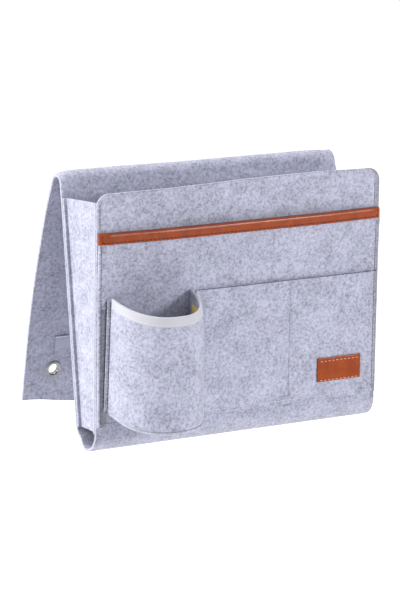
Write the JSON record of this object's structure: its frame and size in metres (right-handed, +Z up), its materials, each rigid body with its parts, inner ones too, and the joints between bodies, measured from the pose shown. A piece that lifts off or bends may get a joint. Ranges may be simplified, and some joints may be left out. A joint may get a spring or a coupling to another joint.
{
  "type": "bedside caddy",
  "caption": "Felt bedside caddy with a deep main pocket, bottle, phone and magazine pockets in front, and a rear flap that folds over a rail or under a mattress.",
  "frame": {"origin": "middle of the inside of the top fold, where a rail would carry the caddy", "axes": "+X to the right across the front as seen from the front, +Y to the back, +Z up"},
  "size_m": [0.323, 0.2277, 0.2672],
  "materials": {
    "felt": "matte light grey felt",
    "brown_leather": "smooth tan brown",
    "pale_tape": "woven off-white binding",
    "yellow_textile": "woven mustard tag",
    "hook_and_loop": "grey hook and loop",
    "nickel": "bright nickel plate"
  },
  "bodies": {
    "caddy": {"front_panel": "felt", "bottom_fold": "felt", "back_panel": "felt", "top_fold": "felt", "left_gusset": "felt", "right_gusset": "felt", "magazine_pocket_panel": "felt", "phone_pocket_panel": "felt", "cup_wall": "felt", "cup_base": "felt", "leather_binding": "brown_leather", "leather_label": "brown_leather", "cup_rim_tape": "pale_tape", "cup_tag": "yellow_textile", "loop_strip": "hook_and_loop"},
    "flap": {"rear_flap": "felt", "hook_strip": "hook_and_loop", "eyelet_left": "nickel", "eyelet_right": "nickel", "eyelet_washer_left": "nickel", "eyelet_washer_right": "nickel"}
  },
  "joints": [
    {"name": "flap_fold", "type": "hinge", "parent": "caddy", "child": "flap", "pos_m": [0, 0, -0.007], "axis": [1, 0, 0], "range_deg": [-26.5, 140], "deforming": ["top_fold"]}
  ]
}
